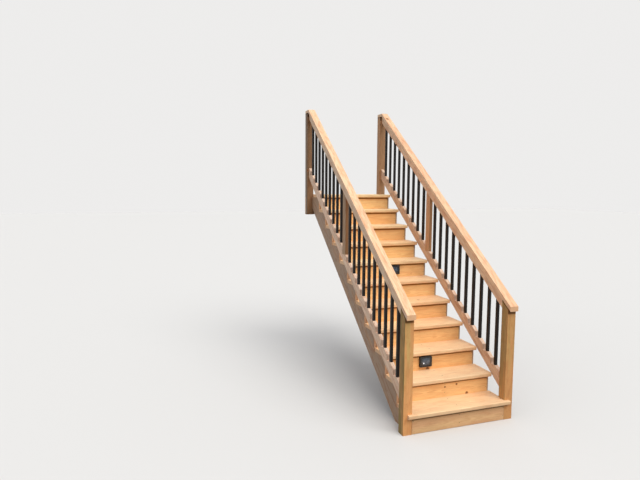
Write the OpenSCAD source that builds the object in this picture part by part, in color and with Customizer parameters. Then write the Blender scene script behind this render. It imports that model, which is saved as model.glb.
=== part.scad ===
// Straight flight of wooden deck stairs with a railing on each side.
// Eleven treads climb from the ground to deck level. X runs across the flight, Y points up the flight
// and Z is up. The origin is the centre of the ledger's back face, which is bolted to the deck's rim.
// Every piece is drawn from the foot of the flight, and placed() then moves it to that origin.

/* [Flight] */
// Number of treads, the top one at deck level
treads = 11; // [8:1:14]
// Height from one tread to the next
rise = 190; // [160:1:200]
// Depth from one nose to the next
run = 254; // [235:1:275]
// Length of a tread, which is also the width over the outer stringers
tread_length = 1010; // [850:5:1300]
// Thickness of a tread board
tread_thick = 38; // [30:1:45]
// How far a tread's nose stands in front of its riser
nosing = 32; // [15:1:40]
// Radius of a tread's rounded nose
nose_radius = 9; // [4:1:12]
// How far the lowest tread reaches past the others, in front of each newel
tread_ear = 32; // [15:1:60]

/* [Risers] */
// Thickness of a riser board
riser_thick = 19; // [15:1:25]
// How much of each outer stringer's edge a riser leaves bare
riser_setback = 27; // [10:1:33]
// Clearance under the lowest riser and at its ends
riser_clear = 2; // [1:1:10]

/* [Stringers] */
// Thickness of a stringer
stringer_thick = 38; // [30:1:50]
// Depth of a stringer's board, across the slope
stringer_depth = 286; // [270:1:320]

/* [Posts] */
// Side of a square newel post
newel_size = 89; // [80:1:110]
// How deep a newel is notched over the stringer
newel_notch = 15; // [5:1:25]
// Clearance of a tread's notch round a newel
notch_clear = 2; // [1:0.5:5]
// Width of the middle post across the railing
mid_post_width = 38; // [30:1:50]
// Depth of the middle post along the railing
mid_post_depth = 89; // [60:1:100]

/* [Handrail] */
// Height of the handrail's top above the line of the noses
rail_height = 906; // [850:1:1000]
// Width of the handrail's flat cap
cap_width = 89; // [80:1:110]
// Thickness of the cap and of the board on edge below it
cap_thick = 38; // [30:1:45]
// Depth of the board on edge below the cap
subrail_depth = 89; // [60:1:110]
// Thickness of the board on edge below the cap
subrail_thick = 38; // [30:1:50]
// How far the cap runs past the front of the lower newel
cap_overhang = 32; // [10:1:60]
// How far the level end on the upper newel reaches down the flight
level_reach = 44; // [20:1:70]

/* [Toothed rail] */
// Thickness of the toothed bottom rail
toothed_thick = 38; // [30:1:50]
// How far the toothed rail's lower edge lies below the line of the noses
toothed_drop = 25; // [10:1:40]
// Height of the teeth's sloping tops above the line of the noses
tooth_height = 108; // [90:1:125]
// Length of the level seat cut behind each tooth
seat_length = 72; // [50:1:85]
// Radius of a tooth's rounded nose
tooth_radius = 12; // [3:1:18]

/* [Balusters] */
// Side of a square metal baluster
baluster_size = 27; // [18:1:32]
// Widest clear gap allowed between balusters
widest_gap = 107; // [85:1:115]
// How far a baluster stands behind the front of its seat
baluster_inset = 5; // [1:1:15]

/* [Top] */
// Height of the ledger board
ledger_height = 235; // [180:1:286]
// Thickness of the ledger board
ledger_thick = 38; // [30:1:45]
// Gap between the top tread and the landing board behind it
board_gap = 5; // [3:1:8]
// Depth of the landing board, whose back edge is level with the deck's rim
landing_depth = 127; // [110:1:150]

/* [Step lights] */
// Tread whose riser carries the lower light
light_step = 3; // [2:1:4]
// Tread whose riser carries the upper light
upper_light_step = 7; // [6:1:8]
// Width of a light's housing
light_width = 132; // [80:1:160]
// Height of a light's housing
light_height = 104; // [60:1:120]
// How far a housing stands out
light_depth = 26; // [15:1:30]
// Distance of the lights from the middle of the flight, the lower to the left and the upper to the right
light_offset = 76; // [0:1:200]
// Distance of a light below the tread over it
light_drop = 12; // [5:1:30]
// Width of the housing's rim round the lens
light_rim = 12; // [6:1:20]
// How deep the lens lies behind the rim
lens_recess = 5; // [2:1:8]

/* [Hidden] */
$fn = 32;
edge_radius = 4;
small_edge = 2;
cut_margin = 1;
far = 4000;
slope = rise / run;
pitch_angle = atan(slope);
tread_half = tread_length / 2;
tread_depth = run + nosing;
newel_inner = tread_half - newel_notch;
rail_centre = newel_inner + newel_size / 2;
stringer_front = nosing + riser_thick;

// Places along the flight, measured from the lowest nose.
newel_front = nosing;
newel_back = newel_front + newel_size;
top_tread_back = (treads - 1) * run + tread_depth;
landing_front = top_tread_back + board_gap;
deck_face = landing_front + landing_depth;
ledger_front = deck_face - ledger_thick;
top_newel_front = deck_face - newel_size;

// As few places as the widest gap allows, at equal gaps from newel to newel. The middle post takes one.
bay_length = top_newel_front - newel_back;
places = ceil((bay_length - widest_gap) / (baluster_size + widest_gap));
mid_place = floor(places / 2);
upper_balusters = places - mid_place - 1;
baluster_gap = (bay_length - places * baluster_size) / (places + 1);
baluster_pitch = baluster_size + baluster_gap;
mid_post_middle = newel_back + mid_place * baluster_pitch + baluster_gap + baluster_size / 2;
mid_post_front = mid_post_middle - mid_post_depth / 2;

// Heights, measured from the ground.
deck_height = treads * rise;
ledger_top = deck_height - tread_thick;
ledger_bottom = ledger_top - ledger_height;
cap_drop = cap_thick / cos(pitch_angle);
subrail_drop = subrail_depth / cos(pitch_angle);
cap_under = rail_height - cap_drop;
subrail_under = cap_under - subrail_drop;
stringer_top = -tread_thick - stringer_front * slope;
stringer_under = stringer_top - stringer_depth / cos(pitch_angle);

// The handrail ends level over the upper newel, in a board set back a little from the sloped part's faces.
level_step = 1;
level_front = top_newel_front - level_reach;
level_top = on_slope(level_front, rail_height) - level_step;
level_under = level_top - cap_thick;
level_width = cap_width - 2 * level_step;

// Number of facets round the nose of a tooth.
tooth_steps = 6;

wood = "#d8a066";
riser_wood = "#cf9460";
post_wood = "#c69a62";
black_metal = "#22201d";

// Height of a sloped line at a place along the flight; above is its height over the line of the noses.
function on_slope(y, above) = rise + y * slope + above;

// Moves a piece from the foot of the flight to the origin on the ledger's back face.
module placed() {
    translate([0, -deck_face, -(ledger_top + ledger_bottom) / 2]) children();
}

// Rectangle with eased corners.
module eased(w, h, r) {
    translate([r, 0]) square([w - 2 * r, h]);
    translate([0, r]) square([w, h - 2 * r]);
    for (x = [r, w - r], y = [r, h - r]) {
        translate([x, y]) circle(r);
    }
}

// Outline in the plane of Y and Z, drawn out along X and centred on x.
module across(x, thick) {
    translate([x - thick / 2, 0, 0]) rotate([90, 0, 90]) linear_extrude(thick) children();
}

// Mirror for the left-hand railing.
module on_side(side) {
    mirror([side < 0 ? 1 : 0, 0, 0]) children();
}

// Treads
module tread_profile() {
    r = nose_radius;
    translate([r, 0]) square([tread_depth - r - edge_radius, tread_thick]);
    translate([0, r]) square([tread_depth, tread_thick - r - max(r, edge_radius)]);
    for (z = [r, tread_thick - r]) {
        translate([r, z]) circle(r);
    }
    for (z = [edge_radius, tread_thick - edge_radius]) {
        translate([tread_depth - edge_radius, z]) circle(edge_radius);
    }
    translate([tread_depth / 2, edge_radius]) square([tread_depth / 2, tread_thick - 2 * edge_radius]);
}

module tread(n) {
    reach = n == 1 ? tread_half + tread_ear : tread_half;
    color(wood) placed() translate([0, (n - 1) * run, n * rise - tread_thick]) difference() {
        across(0, 2 * reach) tread_profile();
        if (n == 1) {
            for (side = [-1, 1]) {
                on_side(side) newel_notch_in_tread();
            }
        }
    }
}

// The lowest tread is cut back behind its ears, round the newels.
module newel_notch_in_tread() {
    front = newel_front - notch_clear;
    translate([newel_inner - notch_clear, front, -rise]) cube([far, newel_size + 2 * notch_clear, 2 * rise]);
    translate([tread_half, front, -rise]) cube([far, far, 2 * rise]);
}

// Each riser above the lowest runs down behind the tread below it.
module riser(n) {
    half = n == 1 ? newel_inner - riser_clear : tread_half - riser_setback;
    foot = n == 1 ? riser_clear : (n - 1) * rise - tread_thick;
    top = n * rise - tread_thick;
    color(riser_wood) placed() translate([0, (n - 1) * run + nosing, foot])
        across(0, 2 * half) eased(riser_thick, top - foot, small_edge);
}

// Stringers
module stringer_outline() {
    difference() {
        polygon(concat(
            [[stringer_front, 0]],
            [for (n = [1:treads], corner = [0, 1]) [
                n == treads && corner == 1 ? ledger_front : stringer_front + (n - 1 + corner) * run,
                n * rise - tread_thick
            ]],
            [[ledger_front, 0]]
        ));
        polygon([
            [stringer_front - far, on_slope(stringer_front - far, stringer_under)],
            [ledger_front + far, on_slope(ledger_front + far, stringer_under)],
            [ledger_front + far, -far],
            [stringer_front - far, -far]
        ]);
    }
}

module stringer(x) {
    color(post_wood) placed() across(x, stringer_thick) stringer_outline();
}

// Ledger and landing board
module ledger() {
    color(post_wood) placed() translate([0, ledger_front, ledger_bottom])
        across(0, 2 * (newel_inner + newel_size)) square([ledger_thick, ledger_height]);
}

module landing_board() {
    half = newel_inner - notch_clear;
    color(wood) placed() translate([0, landing_front, ledger_top])
        across(0, 2 * half) eased(landing_depth, tread_thick, edge_radius);
}

// Newels
// A newel is notched over the outer stringer, from its foot to a height far above the handrail.
module newel(front, foot) {
    difference() {
        translate([newel_inner, front, foot]) linear_extrude(far) eased(newel_size, newel_size, edge_radius);
        across(0, tread_length) stringer_outline();
    }
}

module newel_bottom(side) {
    color(post_wood) placed() on_side(side) difference() {
        newel(newel_front, 0);
        across(0, far) polygon([
            [-far, on_slope(-far, cap_under)],
            [far, on_slope(far, cap_under)],
            [far, 2 * far],
            [-far, 2 * far]
        ]);
    }
}

module newel_top(side) {
    color(post_wood) placed() on_side(side) difference() {
        newel(top_newel_front, ledger_bottom);
        translate([0, ledger_front, 0]) cube([far, ledger_thick + cut_margin, ledger_top]);
        translate([0, 0, level_under]) cube(2 * far);
    }
}

module mid_post(side) {
    foot = seat_level(mid_place);
    color(post_wood) placed() on_side(side) intersection() {
        translate([rail_centre - mid_post_width / 2, mid_post_front, foot])
            linear_extrude(far) eased(mid_post_width, mid_post_depth, edge_radius);
        across(rail_centre, far) polygon([
            [0, 0],
            [far, 0],
            [far, on_slope(far, subrail_under)],
            [0, on_slope(0, subrail_under)]
        ]);
    }
}

// Handrail
module sloped_bar(width, depth, top, from, to) {
    drop = depth / cos(pitch_angle);
    intersection() {
        translate([rail_centre - width / 2, 0, on_slope(0, top)]) rotate([pitch_angle, 0, 0])
            translate([0, far * 1.5, -depth]) rotate([90, 0, 0]) linear_extrude(far * 2)
                eased(width, depth, edge_radius);
        translate([0, from, -far]) cube([far, to - from, 3 * far]);
    }
}

// The level end butts against the sloped part, and the two are one solid.
module handrail(side) {
    color(wood) placed() on_side(side) union() {
        sloped_bar(cap_width, cap_thick, rail_height, newel_front - cap_overhang, level_front);
        translate([rail_centre - level_width / 2, deck_face, level_under]) rotate([90, 0, 0])
            linear_extrude(deck_face - level_front) eased(level_width, cap_thick, edge_radius);
    }
}

module subrail(side) {
    color(wood) placed() on_side(side) difference() {
        sloped_bar(subrail_thick, subrail_depth, cap_under, newel_back, top_newel_front);
        translate([0, level_front, level_under]) cube(far);
    }
}

// Toothed rail
// A sloping board with a seat cut behind each tooth. Seats are counted up the flight, one for each baluster
// and a longer one for the middle post. The last tooth meets the upper newel.
function seat_front(k) = k == mid_place
    ? mid_post_front
    : newel_back + baluster_gap - baluster_inset + k * baluster_pitch;
function seat_back(k) = seat_front(k) + (k == mid_place ? mid_post_depth : seat_length);
function seat_level(k) = on_slope(seat_front(k), tooth_height);

// The nose of a tooth is an arc from its plumb front to its sloping top.
function tooth_nose(front) = let (
    y = front + tooth_radius,
    z = on_slope(y, tooth_height) - tooth_radius / cos(pitch_angle)
) [for (i = [0:tooth_steps])
    let (a = 180 - i * (90 - pitch_angle) / tooth_steps)
    [y + tooth_radius * cos(a), z + tooth_radius * sin(a)]];

module toothed_rail(side) {
    top_edge = [for (k = [0:places], p = concat(
        [[max(newel_back, seat_front(k - 1)), seat_level(k - 1)], [seat_back(k - 1), seat_level(k - 1)]],
        tooth_nose(seat_back(k - 1))
    )) p];
    color(wood) placed() on_side(side) across(rail_centre, toothed_thick) polygon(concat(
        [[newel_back, on_slope(newel_back, -toothed_drop)]],
        top_edge,
        [[seat_front(places), seat_level(places)], [top_newel_front, seat_level(places)]],
        [[top_newel_front, on_slope(top_newel_front, -toothed_drop)]]
    ));
}

// Balusters
module baluster(k) {
    front = seat_front(k) + baluster_inset;
    back = front + baluster_size;
    across(rail_centre, baluster_size) polygon([
        [front, seat_level(k)],
        [back, seat_level(k)],
        [back, on_slope(back, subrail_under)],
        [front, on_slope(front, subrail_under)]
    ]);
}

module balusters(side, first, count) {
    color(black_metal) placed() on_side(side) {
        for (k = [first:first + count - 1]) {
            baluster(k);
        }
    }
}

// Step lights
// A slab standing out of the riser, w wide and h high, about a middle line at a given foot.
module light_slab(w, h, foot, from, to, r) {
    translate([-w / 2, -from, foot]) rotate([90, 0, 0]) linear_extrude(to - from) eased(w, h, r);
}

module light(n, x) {
    face = (n - 1) * run + nosing;
    foot = n * rise - tread_thick - light_drop - light_height;
    color(black_metal) placed() translate([x, face, foot]) difference() {
        light_slab(light_width, light_height, 0, 0, light_depth, edge_radius);
        light_slab(light_width - 2 * light_rim, light_height - 2 * light_rim, light_rim,
            light_depth - lens_recess, light_depth + cut_margin, small_edge);
    }
}

tread(1);  // tread_01
tread(2);  // tread_02
tread(3);  // tread_03
tread(4);  // tread_04
tread(5);  // tread_05
tread(6);  // tread_06
tread(7);  // tread_07
tread(8);  // tread_08
tread(9);  // tread_09
tread(10);  // tread_10
tread(11);  // tread_11
riser(1);  // riser_01
riser(2);  // riser_02
riser(3);  // riser_03
riser(4);  // riser_04
riser(5);  // riser_05
riser(6);  // riser_06
riser(7);  // riser_07
riser(8);  // riser_08
riser(9);  // riser_09
riser(10);  // riser_10
riser(11);  // riser_11
stringer((stringer_thick - tread_length) / 2);  // stringer_left
stringer(0);  // stringer_middle
stringer((tread_length - stringer_thick) / 2);  // stringer_right
ledger();
landing_board();
newel_bottom(-1);  // newel_bottom_left
newel_bottom(1);  // newel_bottom_right
newel_top(-1);  // newel_top_left
newel_top(1);  // newel_top_right
mid_post(-1);  // mid_post_left
mid_post(1);  // mid_post_right
handrail(-1);  // handrail_left
handrail(1);  // handrail_right
subrail(-1);  // subrail_left
subrail(1);  // subrail_right
toothed_rail(-1);  // toothed_rail_left
toothed_rail(1);  // toothed_rail_right
balusters(-1, 0, mid_place);  // balusters_lower_left
balusters(1, 0, mid_place);  // balusters_lower_right
balusters(-1, mid_place + 1, upper_balusters);  // balusters_upper_left
balusters(1, mid_place + 1, upper_balusters);  // balusters_upper_right
light(light_step, -light_offset);  // step_light
light(upper_light_step, light_offset);  // step_light_upper
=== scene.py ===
import math
import random
from typing import NamedTuple

import bpy
from mathutils import Euler, Matrix, Vector


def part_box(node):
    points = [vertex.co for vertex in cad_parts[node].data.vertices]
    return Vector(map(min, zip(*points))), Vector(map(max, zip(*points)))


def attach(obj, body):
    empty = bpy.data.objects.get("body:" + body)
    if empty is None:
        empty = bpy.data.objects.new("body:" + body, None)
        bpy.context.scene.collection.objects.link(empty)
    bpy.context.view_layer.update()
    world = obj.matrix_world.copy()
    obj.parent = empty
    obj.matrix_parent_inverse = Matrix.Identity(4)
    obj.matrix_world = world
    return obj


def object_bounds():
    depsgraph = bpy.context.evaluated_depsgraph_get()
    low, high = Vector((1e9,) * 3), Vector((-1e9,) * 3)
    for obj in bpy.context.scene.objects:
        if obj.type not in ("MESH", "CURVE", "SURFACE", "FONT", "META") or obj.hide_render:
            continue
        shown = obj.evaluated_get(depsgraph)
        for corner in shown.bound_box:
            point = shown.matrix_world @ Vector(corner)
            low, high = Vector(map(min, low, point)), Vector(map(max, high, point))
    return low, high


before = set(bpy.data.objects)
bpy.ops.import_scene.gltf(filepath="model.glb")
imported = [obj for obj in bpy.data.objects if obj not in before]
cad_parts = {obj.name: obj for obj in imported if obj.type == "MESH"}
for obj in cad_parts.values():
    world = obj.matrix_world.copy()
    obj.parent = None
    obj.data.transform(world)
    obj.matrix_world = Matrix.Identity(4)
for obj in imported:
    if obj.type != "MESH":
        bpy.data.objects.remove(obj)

cad_low, cad_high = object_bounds()
BODY = "root"

# Sizes read from the frame.
nose_1, back_1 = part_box("tread_01")
nose_2, back_2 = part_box("tread_02")
RUN = nose_2.y - nose_1.y
RISE = back_2.z - back_1.z
PITCH = math.atan2(RISE, RUN)
GROUND = cad_low.z
TREAD_NAMES = sorted(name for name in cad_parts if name.startswith("tread_"))
RISER_NAMES = sorted(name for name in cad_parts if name.startswith("riser_"))
STRINGER_NAMES = ("stringer_left", "stringer_middle", "stringer_right")
SIDES = ("left", "right")

# How far the handrail's level end reaches down the flight from the upper newel.
LEVEL_REACH = 0.044
LEVEL_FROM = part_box("newel_top_left")[0].y - LEVEL_REACH


def srgb(red, green, blue, alpha=1.0):
    """A colour from 0 to 255 a channel, as the linear values that Blender takes."""
    def linear(value):
        value /= 255
        return value / 12.92 if value <= 0.04045 else ((value + 0.055) / 1.055) ** 2.4
    return (linear(red), linear(green), linear(blue), alpha)


# Shader helpers. Where one takes a value, that is a plain value or the output of another node.

def give(tree, socket, value):
    """Sets an input to a value, or links it to an output."""
    if isinstance(value, bpy.types.NodeSocket):
        tree.links.new(value, socket)
    else:
        socket.default_value = value


def add(tree, kind, values=None, **settings):
    """Adds a shader node, with its settings and the values of its inputs."""
    made = tree.nodes.new("ShaderNode" + kind)
    for name, value in settings.items():
        setattr(made, name, value)
    for name, value in (values or {}).items():
        give(tree, made.inputs[name], value)
    return made


def calc(tree, operation, *terms, clamp=False):
    """One step of arithmetic."""
    made = add(tree, "Math", dict(enumerate(terms)), operation=operation, use_clamp=clamp)
    return made.outputs[0]


def span(tree, value, low, high, to_low=0.0, to_high=1.0):
    """Maps a value from one span to another, smoothly and clamped."""
    made = add(tree, "MapRange", {
        "Value": value, "From Min": low, "From Max": high, "To Min": to_low, "To Max": to_high,
    }, interpolation_type="SMOOTHSTEP")
    return made.outputs["Result"]


def blend(tree, share, first, second, mode="MIX"):
    """Mixes two colours, or multiplies the first by a share of the second."""
    made = add(tree, "Mix", data_type="RGBA", blend_type=mode)
    for socket, value in zip((made.inputs[0], made.inputs[6], made.inputs[7]), (share, first, second)):
        give(tree, socket, value)
    return made.outputs[2]


def choose(tree, switch, first, second):
    """The first vector where the switch is 0, and the second where it is 1."""
    made = add(tree, "Mix", data_type="VECTOR")
    for socket, value in zip((made.inputs[0], made.inputs[4], made.inputs[5]), (switch, first, second)):
        give(tree, socket, value)
    return made.outputs[1]


def part_of(tree, vector, axis):
    """One of a vector's three numbers."""
    return add(tree, "SeparateXYZ", {"Vector": vector}).outputs[axis]


def noise(tree, vector, scale, detail=2.0, roughness=0.5):
    """Soft noise from 0 to 1 on coordinates that are first scaled by one factor an axis."""
    scaled = add(tree, "VectorMath", {0: vector, 1: scale}, operation="MULTIPLY").outputs[0]
    made = add(tree, "TexNoise", {"Vector": scaled, "Scale": 1.0, "Detail": detail, "Roughness": roughness})
    return made.outputs["Fac"]


def ramp(tree, value, stops):
    """A colour ramp with stops of (place, colour)."""
    made = add(tree, "ValToRGB", {"Fac": value})
    band = made.color_ramp.elements
    while len(band) < len(stops):
        band.new(0.5)
    for element, (place, colour) in zip(band, stops):
        element.position = place
        element.color = colour
    return made.outputs["Color"]


def new_material(name):
    """A material, its node tree and its shader."""
    made = bpy.data.materials.new(name)
    made.use_nodes = True
    return made, made.node_tree, made.node_tree.nodes["Principled BSDF"]


def coat(tree, shader, colour, roughness):
    give(tree, shader.inputs["Base Color"], colour)
    give(tree, shader.inputs["Roughness"], roughness)


def roughen(tree, shader, height, strength, distance):
    """Bumps on a surface, from a pattern of heights."""
    bump = add(tree, "Bump", {"Height": height, "Strength": strength, "Distance": distance})
    give(tree, shader.inputs["Normal"], bump.outputs["Normal"])


# Softwood

# Grain runs along the group's X axis, and the pith of the log lies on that axis. The scale of a pattern
# says how often it repeats in a metre, along the grain and across it.
WOOD_TAKES = {
    "Vector": ("Vector", "Knot vector"),
    "Color": ("Light", "Late", "Streak", "Sawn", "Weathered and shaded"),
    "Float": ("End", "Outer", "Streaks", "Knots", "Own knot", "Mottle", "Shade and joint"),
}
WOOD_GIVES = {"Color": ("Color",), "Float": ("Roughness", "Height")}

# Knots lie one to a cell at most. Distances from them are in radii, and the far one stands for no knot.
KNOT_CELL = 0.21
KNOT_RADII_IN_CELLS = (0.026, 0.075)
FAR_KNOT = 9.0
KNOT_REACH = 3.0
KNOT_STOPS = [
    (0.0, srgb(112, 68, 38)), (0.2, srgb(146, 90, 50)), (0.3, srgb(88, 50, 27)), (0.42, srgb(196, 132, 80)),
]

# Growth rings: the distance between them, how far sway, ripple and knots move them, and how many in a row
# are alike.
RING = 0.0046
SWAY = 0.05
RIPPLE = 0.006
KNOT_PUSH = 0.016
RINGS_ALIKE = 6
LATEWOOD_SHARE = 0.62

WOBBLE_SCALE = (60, 60, 60)
SWAY_SCALE = (0.9, 5, 5)
RIPPLE_SCALE = (5, 26, 26)
FIBRE_SCALE = (7, 420, 420)
STAIN_SCALE = (1.6, 14, 14)
CLOUD_SCALE = (2.6, 5, 5)
PATCH_SCALE = (9, 34, 34)
SPECK_SCALE = (90, 130, 130)
SAWN_SCALE = (400, 400, 400)

# Colours that multiply the wood's own.
WORN_LATEWOOD = srgb(222, 212, 200)
SEALER_PATCH = srgb(240, 222, 214)
PITCH_SPECK = srgb(224, 208, 180)
# Painted shade under nosings and handrails. The same colour also darkens the joint in a handrail.
SHADE_AND_JOINT_DARKENING = srgb(150, 132, 94)


def knot_distance(group, given):
    """Distance to the nearest knot. Some boards have knots of their own besides the scattered ones."""
    cells = add(group, "TexVoronoi", {"Vector": given["Knot vector"], "Scale": 1 / KNOT_CELL}).outputs
    chance = add(group, "SeparateColor", {"Color": cells["Color"]}).outputs
    radius = span(group, chance["Green"], 0.0, 1.0, *KNOT_RADII_IN_CELLS)
    absent = calc(group, "GREATER_THAN", chance["Red"], given["Knots"])
    away = calc(group, "DIVIDE", cells["Distance"], radius)
    scattered = calc(group, "MULTIPLY_ADD", absent, FAR_KNOT, away)
    nearest = calc(group, "MINIMUM", scattered, given["Own knot"])
    wobble = noise(group, given["Vector"], WOBBLE_SCALE, 1.0)
    return calc(group, "ADD", nearest, calc(group, "MULTIPLY_ADD", wobble, 0.5, -0.25))


def growth_rings(group, place, knot):
    """Share of latewood. The rings are bent by the trunk's own sway and pushed aside round each knot."""
    across = add(group, "VectorMath", {0: place, 1: (0.0, 1.0, 1.0)}, operation="MULTIPLY").outputs[0]
    radius = add(group, "VectorMath", {0: across}, operation="LENGTH").outputs["Value"]
    for scale, reach in ((SWAY_SCALE, SWAY), (RIPPLE_SCALE, RIPPLE)):
        bend = calc(group, "SUBTRACT", noise(group, place, scale), 0.5)
        radius = calc(group, "ADD", radius, calc(group, "MULTIPLY", bend, reach))
    radius = calc(group, "ADD", radius, span(group, knot, 0.4, 3.6, KNOT_PUSH, 0.0))
    ring = calc(group, "FRACT", calc(group, "DIVIDE", radius, RING))
    latewood = calc(group, "MULTIPLY", span(group, ring, 0.25, 0.84), span(group, ring, 0.9, 1.0, 1.0, 0.0))
    spell = calc(group, "DIVIDE", radius, RINGS_ALIKE * RING)
    year = noise(group, add(group, "CombineXYZ", {"X": spell}).outputs[0], (1, 1, 1), 1.0)
    return calc(group, "MULTIPLY", latewood, span(group, year, 0.25, 0.75, 0.45, 1.0))


def stained_wood(group, given, latewood, fibre):
    """Early and late wood below a streaky stain, which has worn off the sides that face outwards. On the
    newels those sides also take painted shade.
    """
    place = given["Vector"]
    stain = noise(group, place, STAIN_SCALE, 3.0, 0.55)
    cloud = noise(group, place, CLOUD_SCALE)
    worn = calc(group, "MULTIPLY", given["Outer"], span(group, stain, 0.3, 0.6, 0.5, 1.0))
    streaked = calc(group, "MULTIPLY", span(group, stain, 0.42, 0.68), given["Streaks"])
    early = blend(group, streaked, given["Light"], given["Streak"])
    early = blend(group, worn, early, given["Weathered and shaded"])
    worn_late = blend(group, 1.0, given["Weathered and shaded"], WORN_LATEWOOD, "MULTIPLY")
    late = blend(group, worn, given["Late"], worn_late)
    colour = blend(group, calc(group, "MULTIPLY", latewood, LATEWOOD_SHARE), early, late)
    tone = calc(group, "MULTIPLY", span(group, fibre, 0.2, 0.8, 0.90, 1.07),
                span(group, cloud, 0.25, 0.75, 0.93, 1.05))
    grey = add(group, "CombineColor", {"Red": tone, "Green": tone, "Blue": tone}).outputs[0]
    colour = blend(group, 1.0, colour, grey, "MULTIPLY")

    # Sealer lies in pinkish patches, with small brown specks of pitch.
    patch = span(group, noise(group, place, PATCH_SCALE), 0.47, 0.64)
    speck = span(group, noise(group, place, SPECK_SCALE, 1.0), 0.66, 0.76)
    for mask, layer in ((patch, SEALER_PATCH), (speck, PITCH_SPECK)):
        colour = blend(group, calc(group, "MULTIPLY", mask, given["Mottle"]), colour, layer, "MULTIPLY")
    return colour


def make_softwood():
    """The group of nodes that all boards share."""
    group = bpy.data.node_groups.new("softwood", "ShaderNodeTree")
    for way, sockets in (("INPUT", WOOD_TAKES), ("OUTPUT", WOOD_GIVES)):
        for kind, names in sockets.items():
            for name in names:
                group.interface.new_socket(name, in_out=way, socket_type="NodeSocket" + kind)
    given = group.nodes.new("NodeGroupInput").outputs
    place = given["Vector"]
    knot = knot_distance(group, given)
    latewood = growth_rings(group, place, knot)
    fibre = noise(group, place, FIBRE_SCALE, 3.0, 0.6)
    colour = stained_wood(group, given, latewood, fibre)

    # Sawn ends take the stain unevenly and dry paler.
    uneven = span(group, noise(group, place, SAWN_SCALE), 0.3, 0.7, 0.15, 0.6)
    sawn_share = calc(group, "MULTIPLY", span(group, given["End"], 0.45, 0.95), 0.75)
    colour = blend(group, sawn_share, colour, blend(group, uneven, given["Sawn"], given["Late"]))

    # A knot is brown inside, with a dark rim and a faint halo.
    knot_colour = ramp(group, calc(group, "DIVIDE", knot, KNOT_REACH), KNOT_STOPS)
    colour = blend(group, span(group, knot, 0.9, 1.9, 0.94, 0.0), colour, knot_colour)

    # Painted shade where one board meets another from above, and dirt in the joint where a handrail turns
    # level.
    colour = blend(group, given["Shade and joint"], colour, SHADE_AND_JOINT_DARKENING, "MULTIPLY")

    rough = calc(group, "MULTIPLY_ADD", given["End"], 0.18, span(group, fibre, 0.2, 0.8, 0.60, 0.50))
    height = calc(group, "ADD", calc(group, "MULTIPLY", latewood, 0.35), calc(group, "MULTIPLY", fibre, 0.65))
    height = calc(group, "SUBTRACT", height, span(group, knot, 0.7, 1.2, 0.5, 0.0))
    out = group.nodes.new("NodeGroupOutput")
    for name, value in (("Color", colour), ("Roughness", rough), ("Height", height)):
        group.links.new(value, out.inputs[name])
    return group


SOFTWOOD = make_softwood()

# Turns that bring a board's own length onto the grain's axis.
GRAIN_TURN = {
    "across": (0.0, 0.0, 0.0),
    "up": (0.0, math.pi / 2, 0.0),
    "level": (0.0, 0.0, -math.pi / 2),
    "slope": (-PITCH, 0.0, -math.pi / 2),
}


class Tone(NamedTuple):
    """Colours of a board's wood and stain, how strong its streaks and patches are, and how common its
    knots. The outer colour shows only on the railings and stringers; on the newels it is partly painted
    shade."""
    light: tuple
    late: tuple
    streak: tuple
    outer: tuple = srgb(238, 204, 172)
    sawn: tuple = srgb(236, 200, 168)
    streaks: float = 0.6
    knots: float = 0.3
    mottle: float = 0.35


TREAD_TONE = Tone(srgb(250, 212, 166), srgb(230, 176, 126), srgb(246, 196, 146), streaks=0.5, knots=0.24)
RISER_TONE = Tone(srgb(250, 204, 142), srgb(228, 170, 110), srgb(244, 186, 122))
FIRST_RISER_TONE = Tone(srgb(239, 196, 144), srgb(212, 160, 113), srgb(229, 174, 132), knots=0.1)
LEFT_CAP_TONE = Tone(srgb(246, 212, 174), srgb(226, 176, 134), srgb(242, 190, 150), srgb(246, 216, 188),
                     sawn=srgb(246, 196, 152), streaks=0.8, knots=0.42, mottle=0.75)
RIGHT_CAP_TONE = Tone(srgb(242, 200, 160), srgb(222, 172, 132), srgb(236, 180, 138), srgb(240, 208, 176),
                      sawn=srgb(246, 196, 152), streaks=0.9, knots=0.42, mottle=0.75)
# The right subrail is paler and greyer than its cap, partly as painted light: cool sky light on its inner
# side.
RIGHT_SUBRAIL_TONE = RIGHT_CAP_TONE._replace(light=srgb(236, 211, 184), late=srgb(217, 181, 153),
                                             streak=srgb(230, 190, 160))
TOOTHED_TONE = Tone(srgb(222, 194, 168), srgb(189, 153, 127), srgb(197, 164, 143), srgb(250, 218, 192),
                    sawn=srgb(206, 178, 162), streaks=0.7, mottle=0.9)
# The newels' sides are darker and more olive than their fronts. This is partly the green of treated wood and
# partly painted shade.
RIGHT_POST_TONE = Tone(srgb(224, 166, 108), srgb(190, 134, 82), srgb(208, 174, 112), srgb(168, 140, 93),
                       streaks=1.0, knots=0.2, mottle=0.6)
LEFT_POST_TONE = Tone(srgb(240, 176, 114), srgb(202, 146, 92), srgb(220, 186, 118), srgb(148, 125, 72),
                      streaks=1.0, knots=0.2, mottle=0.6)
LEFT_MID_POST_TONE = Tone(srgb(190, 138, 94), srgb(160, 110, 70), srgb(168, 126, 86), srgb(212, 176, 142),
                          streaks=0.8, knots=0.2)
RIGHT_MID_POST_TONE = LEFT_MID_POST_TONE._replace(outer=srgb(216, 168, 130))
# The upper posts are darker than the lower ones, partly as painted shade.
TOP_POST_TONE = Tone(srgb(188, 144, 104), srgb(152, 110, 76), srgb(162, 128, 94), srgb(146, 120, 98),
                     streaks=0.8, knots=0.2)
FRAME_TONE = Tone(srgb(194, 152, 112), srgb(148, 108, 76), srgb(156, 130, 102), srgb(174, 150, 130),
                  streaks=0.8, mottle=1.0)


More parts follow.
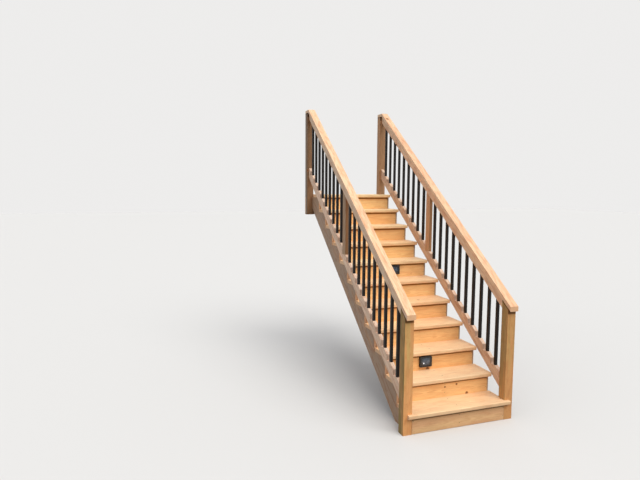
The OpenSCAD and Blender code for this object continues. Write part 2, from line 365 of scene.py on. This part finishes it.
def grain_axes(tree, grain, centre, shift):
    """Place and facing of a surface in a board whose grain lies on X, with its centre moved to shift."""
    where = add(tree, "TexCoord").outputs
    turn = GRAIN_TURN[grain]
    move = shift - Euler(turn).to_matrix() @ centre
    place = add(tree, "Mapping", {"Vector": where["Object"], "Location": move, "Rotation": turn})
    facing = add(tree, "Mapping", {"Vector": where["Normal"], "Rotation": turn}, vector_type="VECTOR")
    return place.outputs[0], facing.outputs[0]


# How far below a corner the painted shade starts to fade, and how far below it ends. It reaches further down
# a post's front, as the painted shadow of the handrail's end that stands out over that. The joint's dirt
# reaches as far to both sides.
NOSING_SHADE = (0.015, 0.027)
RAIL_SHADE = (0.009, 0.018)
RAIL_END_SHADOW = (0.046, 0.062)
JOINT_DIRT = 0.0012


def painted_shade_and_joint_dirt(tree, name, level_from):
    """Painted shade in the corner below a nosing or a handrail, and dirt in the joint where a handrail turns
    level.
    """
    where = add(tree, "TexCoord").outputs
    place = add(tree, "SeparateXYZ", {"Vector": where["Object"]}).outputs
    # Painted shade along a riser's top, under the nosing.
    if name in RISER_NAMES:
        below = calc(tree, "SUBTRACT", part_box(name)[1].z, place["Z"])
        return span(tree, below, *NOSING_SHADE, 1.0, 0.0)
    # Painted shade and shadow under the handrail, on a post's sides and front.
    if "newel" in name or "mid_post" in name:
        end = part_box("handrail_left")[0]
        slope = calc(tree, "MULTIPLY_ADD", calc(tree, "SUBTRACT", place["Y"], end.y), RISE / RUN, end.z)
        underside = calc(tree, "MINIMUM", slope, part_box("newel_top_left")[1].z)
        front = calc(tree, "MULTIPLY", part_of(tree, where["Normal"], "Y"), -1.0, clamp=True)
        reach = [calc(tree, "MULTIPLY_ADD", front, end_reach - side_reach, side_reach)
                 for side_reach, end_reach in zip(RAIL_SHADE, RAIL_END_SHADOW)]
        return span(tree, calc(tree, "SUBTRACT", underside, place["Z"]), *reach, 1.0, 0.0)
    if level_from is not None:
        away = calc(tree, "ABSOLUTE", calc(tree, "SUBTRACT", place["Y"], level_from))
        return span(tree, away, 0.0, JOINT_DIRT, 1.0, 0.0)
    return 0.0


# Where in its log a board is cut: how far the pith lies from its middle through its face, how far at most
# along its face, and the length of the log. A handrail's level end is cut elsewhere than its slope.
PITH_AWAY = (0.045, 0.11)
PITH_ASIDE = 0.03
LOG_LENGTH = 40
LEVEL_SHIFT = Vector((3.0, 0.0, 0.02))

# No two boards have quite the same shade and warmth.
SHADES = (0.97, 1.04)
WARMTH = 0.035

# Knots run through a board, so they are stretched along its thin axis.
KNOT_SCALES = {"y": (1.0, 0.12, 1.0), "z": (1.0, 1.0, 0.12), None: (1.0, 1.0, 1.0)}
GRAIN_BUMP = 0.0006


def outer_side(tree, middle, both_sides, pale_top):
    """Where a board beside the flight faces away from it, so that its stain has worn off, and where a newel's
    sides take painted shade.
    """
    normal = add(tree, "SeparateXYZ", {"Vector": add(tree, "TexCoord").outputs["Normal"]}).outputs
    if both_sides:
        sideways = calc(tree, "ABSOLUTE", normal["X"])
    else:
        sideways = calc(tree, "MULTIPLY", normal["X"], math.copysign(1.0, middle.x))
    outer = span(tree, sideways, 0.4, 0.9)
    if pale_top:
        outer = calc(tree, "MAXIMUM", outer, span(tree, normal["Z"], 0.6, 0.9))
    return outer


def nearest_own_knot(tree, knots):
    """Distance, in radii, to the nearest of a board's own knots."""
    where = add(tree, "TexCoord").outputs["Object"]
    nearest = FAR_KNOT
    for centre, radius in knots:
        away = add(tree, "VectorMath", {0: where, 1: centre}, operation="DISTANCE").outputs["Value"]
        nearest = calc(tree, "MINIMUM", calc(tree, "DIVIDE", away, radius), nearest)
    return nearest


def dress(name, material):
    """Gives a CAD node one material."""
    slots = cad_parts[name].data.materials
    slots.clear()
    slots.append(material)


def dress_board(name, grain, tone, seed, thin="z", own_knots=(), level_from=None, shade=1.0, both_sides=False,
                pale_top=False):
    """Gives a board its wood. thin is the board's thin axis once its grain is turned onto X, or None for a
    square post. Beyond level_from, the board lies level. both_sides says that its inner side is as
    weathered as its outer one, which on a newel is partly painted shade, and pale_top says the same of what
    faces up."""
    rng = random.Random(seed)
    made, tree, shader = new_material("wood_" + name)
    low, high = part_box(name)
    middle = (low + high) / 2
    pith = rng.uniform(*PITH_AWAY) * rng.choice((-1, 1))
    aside = rng.uniform(-PITH_ASIDE, PITH_ASIDE)
    shift = Vector((rng.uniform(0, LOG_LENGTH), *((pith, aside) if thin == "y" else (aside, pith))))
    place, facing = grain_axes(tree, grain, middle, shift)
    if level_from is not None:
        level_place, level_facing = grain_axes(tree, "level", middle, shift + LEVEL_SHIFT)
        along = part_of(tree, add(tree, "TexCoord").outputs["Object"], "Y")
        beyond = calc(tree, "GREATER_THAN", along, level_from)
        place = choose(tree, beyond, place, level_place)
        facing = choose(tree, beyond, facing, level_facing)
    knot_vector = add(tree, "VectorMath", {0: place, 1: KNOT_SCALES[thin]}, operation="MULTIPLY").outputs[0]

    shade *= rng.uniform(*SHADES)
    warmth = rng.uniform(-WARMTH, WARMTH)
    tint = (shade, shade * (1 - warmth), shade * (1 - 2 * warmth))
    colours = {
        socket: (*(min(1.0, level * share) for level, share in zip(colour, tint)), 1.0)
        for socket, colour in (("Light", tone.light), ("Late", tone.late), ("Streak", tone.streak),
                               ("Weathered and shaded", tone.outer), ("Sawn", tone.sawn))
    }
    group = tree.nodes.new("ShaderNodeGroup")
    group.node_tree = SOFTWOOD
    for socket, value in {
        **colours,
        "Vector": place,
        "Knot vector": knot_vector,
        "End": calc(tree, "ABSOLUTE", part_of(tree, facing, "X")),
        "Outer": outer_side(tree, middle, both_sides, pale_top) if name.endswith(SIDES) else 0.0,
        "Streaks": tone.streaks,
        "Knots": tone.knots,
        "Own knot": nearest_own_knot(tree, own_knots),
        "Mottle": tone.mottle,
        "Shade and joint": painted_shade_and_joint_dirt(tree, name, level_from),
    }.items():
        give(tree, group.inputs[socket], value)

    coat(tree, shader, group.outputs["Color"], group.outputs["Roughness"])
    roughen(tree, shader, group.outputs["Height"], 0.35, GRAIN_BUMP)
    shader.inputs["Specular IOR Level"].default_value = 0.35
    dress(name, made)


# Boards

# Knots that show in the picture are placed on their boards: how far to the right of the flight's middle,
# how high above the board's foot, and their radius.
SHOWN_KNOTS = {
    "riser_02": ((0.247, 0.045, 0.012), (0.001, 0.133, 0.007), (0.129, 0.147, 0.008)),
    "riser_03": ((-0.043, 0.046, 0.014),),
}


def shown_knots(name):
    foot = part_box(name)[0]
    return [(Vector((x, foot.y, foot.z + up)), radius) for x, up, radius in SHOWN_KNOTS.get(name, ())]


# The treads and risers get a little paler with every step up. This is painted light: the lowest steps are
# darkened and the upper ones brightened.
LOWEST_TREAD_PAINTED_SHADE = 0.97
TREAD_PAINTED_LIGHT_STEP = 0.022
RISER_PAINTED_LIGHT_STEP = 0.008

for number, name in enumerate(TREAD_NAMES):
    dress_board(name, "across", TREAD_TONE, 100 + number,
                shade=LOWEST_TREAD_PAINTED_SHADE + TREAD_PAINTED_LIGHT_STEP * number)
dress_board("landing_board", "across", TREAD_TONE, 119)
for number, name in enumerate(RISER_NAMES):
    dress_board(name, "across", RISER_TONE if number else FIRST_RISER_TONE, 200 + number, thin="y",
                own_knots=shown_knots(name), shade=1.0 + RISER_PAINTED_LIGHT_STEP * number)
dress_board("ledger", "across", FRAME_TONE, 300, thin="y")
for number, name in enumerate(STRINGER_NAMES):
    dress_board(name, "slope", FRAME_TONE, 310 + number, thin="y")

# The left railing's upper and middle posts are darker than the right one's. The upper post's darkening is
# painted shade.
POST_TONES = {"left": LEFT_POST_TONE, "right": RIGHT_POST_TONE}
MID_POST_TONES = {"left": LEFT_MID_POST_TONE, "right": RIGHT_MID_POST_TONE}
CAP_TONES = {"left": LEFT_CAP_TONE, "right": RIGHT_CAP_TONE}
SUBRAIL_TONES = {"left": LEFT_CAP_TONE, "right": RIGHT_SUBRAIL_TONE}
TOP_POST_PAINTED_SHADES = {"left": 0.64, "right": 1.0}
MID_POST_SHADES = {"left": 0.7, "right": 0.92}

for number, side in enumerate(SIDES):
    dress_board(f"newel_bottom_{side}", "up", POST_TONES[side], 400 + number, thin=None, both_sides=True)
    dress_board(f"newel_top_{side}", "up", TOP_POST_TONE, 410 + number, thin=None,
                shade=TOP_POST_PAINTED_SHADES[side])
    dress_board(f"mid_post_{side}", "up", MID_POST_TONES[side], 420 + number, thin="y",
                shade=MID_POST_SHADES[side], both_sides=True)
    dress_board(f"handrail_{side}", "slope", CAP_TONES[side], 500 + number,
                level_from=LEVEL_FROM, both_sides=True)
    dress_board(f"subrail_{side}", "slope", SUBRAIL_TONES[side], 510 + number, thin="y")
    dress_board(f"toothed_rail_{side}", "slope", TOOTHED_TONE, 520 + number, thin="y", pale_top=True)


# Balusters

COAT_BUMP = 0.0002


def black_paint():
    made, tree, shader = new_material("black_powder_coat")
    where = add(tree, "TexCoord").outputs["Object"]
    orange_peel = noise(tree, where, (900, 900, 900), 1.0)
    dust = noise(tree, where, (22, 22, 6), 3.0, 0.6)
    dusty = span(tree, dust, 0.52, 0.75)
    colour = blend(tree, calc(tree, "MULTIPLY", dusty, 0.3), srgb(20, 14, 11), srgb(56, 46, 36))
    coat(tree, shader, colour, span(tree, dust, 0.3, 0.8, 0.38, 0.6))
    roughen(tree, shader, orange_peel, 0.25, COAT_BUMP)
    shader.inputs["Specular IOR Level"].default_value = 0.25
    return made


BLACK_PAINT = black_paint()

# Each face of the frame's mesh has corners of its own, which are joined before the edges are rounded.
BAR_EDGE = 0.0022
WELD_WITHIN = 0.00005
for side in SIDES:
    for part in ("lower", "upper"):
        name = f"balusters_{part}_{side}"
        dress(name, BLACK_PAINT)
        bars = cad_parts[name]
        weld = bars.modifiers.new("weld", "WELD")
        weld.merge_threshold = WELD_WITHIN
        rounded = bars.modifiers.new("rounded", "BEVEL")
        rounded.width = BAR_EDGE
        rounded.segments = 3
        rounded.limit_method = "ANGLE"
        rounded.harden_normals = True


# Fittings

# Screws, bolts, lenses and lit spots are stacks of rings with one point in the middle of the last ring.
RING_POINTS = 24
RING_TURNS = [2 * math.pi * step / RING_POINTS for step in range(RING_POINTS)]
STAR_NOTCH = 0.72


def round_ring(reach):
    return [Vector((math.cos(turn), math.sin(turn))) * reach for turn in RING_TURNS]


def star_ring(reach):
    """A star-drive recess with six points, and notches between them."""
    return [spot * (1.0 if step % 4 in (0, 1) else STAR_NOTCH) for step, spot in enumerate(round_ring(reach))]


def hexagon_ring(reach):
    half = math.pi / 6
    return [spot * math.cos(half) / math.cos(turn % (2 * half) - half)
            for turn, spot in zip(RING_TURNS, round_ring(reach))]


def slab_ring(width, height, corner):
    """A rectangle with round corners, from the same number of points as a round ring."""
    spots = []
    for spot in round_ring(corner):
        right = 1 if spot.x > 1e-9 or (abs(spot.x) < 1e-9 and spot.y < 0) else -1
        upper = 1 if spot.y > -1e-9 else -1
        spots.append(spot + Vector((right * (width / 2 - corner), upper * (height / 2 - corner))))
    return spots


def fittings(name, rings, seats, material):
    """One mesh of like fittings. A ring is a list of points and its level above the seat, from the outer
    ring to the inner one, and a seat is a place and the direction that the fitting faces."""
    points, faces = [], []
    for place, facing in seats:
        seat = Matrix.Translation(place) @ Vector(facing).to_track_quat("Z", "Y").to_matrix().to_4x4()
        first = len(points)
        for spots, level in rings:
            points += [seat @ Vector((spot.x, spot.y, level)) for spot in spots]
        middle = len(points)
        points.append(seat @ Vector((0, 0, rings[-1][1])))
        for step in range(RING_POINTS):
            after = (step + 1) % RING_POINTS
            for ring in range(len(rings) - 1):
                outer = first + ring * RING_POINTS
                inner = outer + RING_POINTS
                faces.append((outer + step, outer + after, inner + after, inner + step))
            faces.append((middle - RING_POINTS + step, middle - RING_POINTS + after, middle))
    mesh = bpy.data.meshes.new(name)
    mesh.from_pydata(points, [], faces)
    mesh.update()
    mesh.materials.append(material)
    made = bpy.data.objects.new(name, mesh)
    bpy.context.scene.collection.objects.link(made)
    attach(made, BODY)


def coated_steel(name, base, worn_base):
    made, tree, shader = new_material(name)
    where = add(tree, "TexCoord").outputs["Object"]
    worn = noise(tree, where, (1500, 1500, 1500), 2.0)
    colour = blend(tree, span(tree, worn, 0.4, 0.65), base, worn_base)
    coat(tree, shader, colour, span(tree, worn, 0.3, 0.7, 0.42, 0.6))
    shader.inputs["Metallic"].default_value = 0.6
    return made


SCREW_STEEL = coated_steel("screw_coating", srgb(104, 80, 56), srgb(136, 112, 84))
BOLT_STEEL = coated_steel("bolt_zinc", srgb(128, 130, 132), srgb(160, 162, 164))


SCREW_RISE = 0.0005


def screw_rings(radius):
    return [
        (round_ring(1.06 * radius), 0.0),
        (round_ring(radius), 0.7 * SCREW_RISE),
        (round_ring(0.86 * radius), SCREW_RISE),
        (star_ring(0.48 * radius), 0.9 * SCREW_RISE),
        (star_ring(0.42 * radius), 0.1 * SCREW_RISE),
    ]


def middle_x(name):
    low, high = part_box(name)
    return (low.x + high.x) / 2


UPWARDS = (0, 0, 1)
TOWARDS_FOOT = (0, -1, 0)
STRINGER_PLACES = [middle_x(name) for name in STRINGER_NAMES]
MIDDLE_STRINGER = STRINGER_PLACES[1]

# A tread screw's radius, and how far the screws lie behind the front of a tread and of the landing board.
TREAD_SCREW = 0.0042
SCREW_FROM_NOSE = (0.085, 0.235)
LANDING_SCREWS = (0.045, 0.105)
tread_screws = []
for name in TREAD_NAMES:
    low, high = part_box(name)
    for x in STRINGER_PLACES:
        tread_screws += [((x, low.y + back, high.z), UPWARDS) for back in SCREW_FROM_NOSE]
low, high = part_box("landing_board")
tread_screws += [((MIDDLE_STRINGER, low.y + back, high.z), UPWARDS) for back in LANDING_SCREWS]
fittings("tread_screws", screw_rings(TREAD_SCREW), tread_screws, SCREW_STEEL)

# A riser screw's radius, and how far the screws lie below a riser's top and from its ends.
RISER_SCREW = 0.0028
RISER_SCREW_DEPTHS = (0.03, 0.11)
RISER_SCREW_INSET = 0.009
riser_screws = []
for name in RISER_NAMES:
    low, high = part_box(name)
    for x in (low.x + RISER_SCREW_INSET, MIDDLE_STRINGER, high.x - RISER_SCREW_INSET):
        riser_screws += [((x, low.y, high.z - below), TOWARDS_FOOT) for below in RISER_SCREW_DEPTHS]
fittings("riser_screws", screw_rings(RISER_SCREW), riser_screws, SCREW_STEEL)

# Bolts through the ledger, two between each pair of stringers.
BOLT_INSET = 0.055
WASHER = 0.017
WASHER_THICK = 0.0025
BOLT_HEAD = 0.0105
BOLT_HEAD_RISE = 0.007
low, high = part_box("ledger")
ledger_bolts = []
for left, right in zip(STRINGER_PLACES, STRINGER_PLACES[1:]):
    for share, z in ((1 / 3, high.z - BOLT_INSET), (2 / 3, low.z + BOLT_INSET)):
        ledger_bolts.append(((left + (right - left) * share, low.y, z), TOWARDS_FOOT))
fittings("ledger_bolts", [
    (round_ring(WASHER), 0.0),
    (round_ring(WASHER), 0.8 * WASHER_THICK),
    (round_ring(0.96 * WASHER), WASHER_THICK),
    (hexagon_ring(BOLT_HEAD), WASHER_THICK),
    (hexagon_ring(BOLT_HEAD), WASHER_THICK + 0.85 * BOLT_HEAD_RISE),
    (round_ring(0.84 * BOLT_HEAD), WASHER_THICK + BOLT_HEAD_RISE),
], ledger_bolts, BOLT_STEEL)


# Step lights

LIGHT_RIM = 0.012
LENS_RECESS = 0.005
LENS_GAP = 0.0008
LENS_CROWN = 0.004
LENS_CORNER = 0.006
LENS_BEVEL = 0.0015
LED_RADIUS = 0.006
LED_RISE = 0.0022
LED_TURNS = (0.0, 0.35, 0.7, 1.05, 1.35)
# Where the lit spot shows on the lens, from the housing's lower left corner.
LED_ASIDE = 0.041
LED_UP = 0.038


def light_plastic():
    made, tree, shader = new_material("light_housing")
    where = add(tree, "TexCoord").outputs["Object"]
    grain = noise(tree, where, (1400, 1400, 1400), 2.0)
    dust = noise(tree, where, (30, 30, 30), 3.0)
    dusty = calc(tree, "MULTIPLY", span(tree, dust, 0.45, 0.75), 0.3)
    colour = blend(tree, dusty, srgb(30, 32, 35), srgb(74, 74, 72))
    coat(tree, shader, colour, span(tree, grain, 0.3, 0.7, 0.5, 0.62))
    roughen(tree, shader, grain, 0.3, COAT_BUMP)
    return made


def lens_plastic(name, middle, width, height):
    """Smoked plastic, with a darker grid of cells below its surface that fades to black round its edge."""
    made, tree, shader = new_material(name)
    where = add(tree, "TexCoord").outputs["Object"]
    cells = add(tree, "TexVoronoi", {"Vector": where, "Scale": 160.0}).outputs["Distance"]
    smear = noise(tree, where, (40, 40, 60), 3.0)
    colour = blend(tree, span(tree, cells, 0.1, 0.7), srgb(74, 92, 112), srgb(50, 62, 78))
    colour = blend(tree, span(tree, smear, 0.45, 0.7, 0.0, 0.5), colour, srgb(108, 126, 146))
    aside = add(tree, "VectorMath", {0: where, 1: middle}, operation="SUBTRACT").outputs[0]
    shares = (2 / width, 0.0, 2 / height)
    aside = add(tree, "VectorMath", {0: aside, 1: shares}, operation="MULTIPLY").outputs[0]
    out = add(tree, "VectorMath", {0: aside}, operation="LENGTH").outputs["Value"]
    colour = blend(tree, span(tree, out, 0.5, 1.2), colour, srgb(26, 28, 30))
    coat(tree, shader, colour, span(tree, smear, 0.3, 0.7, 0.12, 0.3))
    shader.inputs["Coat Weight"].default_value = 0.6
    shader.inputs["Coat Roughness"].default_value = 0.08
    return made


def led_plastic():
    made, tree, shader = new_material("light_led")
    where = add(tree, "TexCoord").outputs["Object"]
    frost = noise(tree, where, (900, 900, 900), 2.0)
    colour = blend(tree, frost, srgb(246, 248, 250), srgb(228, 236, 244))
    coat(tree, shader, colour, span(tree, frost, 0.3, 0.7, 0.2, 0.35))
    shader.inputs["Emission Color"].default_value = srgb(236, 244, 255)
    shader.inputs["Emission Strength"].default_value = 0.9
    return made


HOUSING = light_plastic()
LED = led_plastic()
for name in ("step_light", "step_light_upper"):
    dress(name, HOUSING)
    low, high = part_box(name)
    middle = (low + high) / 2
    width = high.x - low.x - 2 * (LIGHT_RIM + LENS_GAP)
    height = high.z - low.z - 2 * (LIGHT_RIM + LENS_GAP)
    seat = Vector((middle.x, low.y + LENS_RECESS, middle.z))
    fittings(name + "_lens", [
        (slab_ring(width, height, LENS_CORNER), 0.0),
        (slab_ring(width, height, LENS_CORNER), 0.55 * LENS_CROWN),
        (slab_ring(width - LENS_BEVEL, height - LENS_BEVEL, LENS_CORNER), 0.75 * LENS_CROWN),
        (slab_ring(0.9 * width, 0.9 * height, LENS_CORNER), 0.9 * LENS_CROWN),
        (slab_ring(0.5 * width, 0.5 * height, LENS_CORNER), LENS_CROWN),
    ], [(seat, TOWARDS_FOOT)], lens_plastic(name + "_lens", middle, width, height))
    lit = Vector((low.x + LED_ASIDE, seat.y - 0.9 * LENS_CROWN, low.z + LED_UP))
    fittings(name + "_led", [
        (round_ring(LED_RADIUS * math.cos(turn)), LED_RISE * math.sin(turn))
        for turn in LED_TURNS
    ], [(lit, TOWARDS_FOOT)], LED)


# Stage with a pale floor, a plain world and soft lamps

def stage_colour(tree, seen, given):
    """One colour for the camera and reflections, and another for the light given to the boards, so that
    they keep their own colours."""
    rays = add(tree, "LightPath").outputs
    looked_at = calc(tree, "MAXIMUM", rays["Is Camera Ray"],
                     calc(tree, "MAXIMUM", rays["Is Glossy Ray"], rays["Is Transmission Ray"]))
    return blend(tree, looked_at, given, seen)


FLOOR_SEEN, FLOOR_GIVEN = srgb(215, 214, 212), srgb(98, 94, 86)
SKY_SEEN, SKY_LOW, SKY_HIGH = srgb(243, 242, 241), srgb(94, 97, 101), srgb(248, 250, 255)
SKY_STRENGTH = 0.95

FLOOR_HALF = 40.0
floor_mesh = bpy.data.meshes.new("floor")
floor_mesh.from_pydata([
    (-FLOOR_HALF, -FLOOR_HALF, GROUND), (FLOOR_HALF, -FLOOR_HALF, GROUND),
    (FLOOR_HALF, FLOOR_HALF, GROUND), (-FLOOR_HALF, FLOOR_HALF, GROUND),
], [], [(0, 1, 2, 3)])
floor = bpy.data.objects.new("floor", floor_mesh)
bpy.context.scene.collection.objects.link(floor)
floor_material, floor_tree, floor_shader = new_material("floor_paint")
give(floor_tree, floor_shader.inputs["Base Color"], stage_colour(floor_tree, FLOOR_SEEN, FLOOR_GIVEN))
floor_shader.inputs["Roughness"].default_value = 0.8
floor_shader.inputs["Specular IOR Level"].default_value = 0.1
floor_mesh.materials.append(floor_material)

world = bpy.data.worlds.new("studio")
bpy.context.scene.world = world
world.use_nodes = True
sky_tree = world.node_tree
sky = sky_tree.nodes["Background"]
sky.inputs["Strength"].default_value = SKY_STRENGTH
height = part_of(sky_tree, add(sky_tree, "TexCoord").outputs["Generated"], "Z")
overhead = blend(sky_tree, calc(sky_tree, "MAXIMUM", height, 0.0), SKY_LOW, SKY_HIGH)
give(sky_tree, sky.inputs["Color"], stage_colour(sky_tree, SKY_SEEN, overhead))


def sun(name, strength, spread, direction, colour):
    """A distant soft lamp that shines along a direction."""
    data = bpy.data.lights.new(name, "SUN")
    data.energy = strength
    data.angle = math.radians(spread)
    data.color = colour
    lamp = bpy.data.objects.new(name, data)
    bpy.context.scene.collection.objects.link(lamp)
    lamp.rotation_euler = Vector(direction).to_track_quat("-Z", "Y").to_euler()


sun("key", strength=2.2, spread=50, direction=(-0.22, 0.66, -0.92), colour=(1.0, 0.98, 0.94))
sun("fill", strength=0.55, spread=60, direction=(0.9, 0.35, -0.45), colour=(1.0, 0.98, 0.95))

# Camera, placed from a fit to the noses, newels and rails in the picture.
CAMERA_PLACE = Vector((-2.706, -6.867, 0.2535))
CAMERA_YAW = 0.329
CAMERA_DIP = 0.101
CAMERA_ROLL = 0.005
FOCAL_PIXELS = 522.19
PICTURE_WIDTH = 640
camera_data = bpy.data.cameras.new("camera")
camera_data.sensor_width = 36.0
camera_data.lens = FOCAL_PIXELS * camera_data.sensor_width / PICTURE_WIDTH
camera = bpy.data.objects.new("camera", camera_data)
bpy.context.scene.collection.objects.link(camera)
sight = Vector((math.sin(CAMERA_YAW) * math.cos(CAMERA_DIP),
                math.cos(CAMERA_YAW) * math.cos(CAMERA_DIP), -math.sin(CAMERA_DIP)))
level = Vector((math.cos(CAMERA_YAW), -math.sin(CAMERA_YAW), 0.0))
upward = level.cross(sight)
right = level * math.cos(CAMERA_ROLL) + upward * math.sin(CAMERA_ROLL)
top = upward * math.cos(CAMERA_ROLL) - level * math.sin(CAMERA_ROLL)
camera.matrix_world = Matrix.Translation(CAMERA_PLACE) @ Matrix((right, top, -sight)).transposed().to_4x4()
camera_data.clip_end = 200.0
bpy.context.scene.camera = camera

bpy.context.scene.view_settings.view_transform = "Standard"
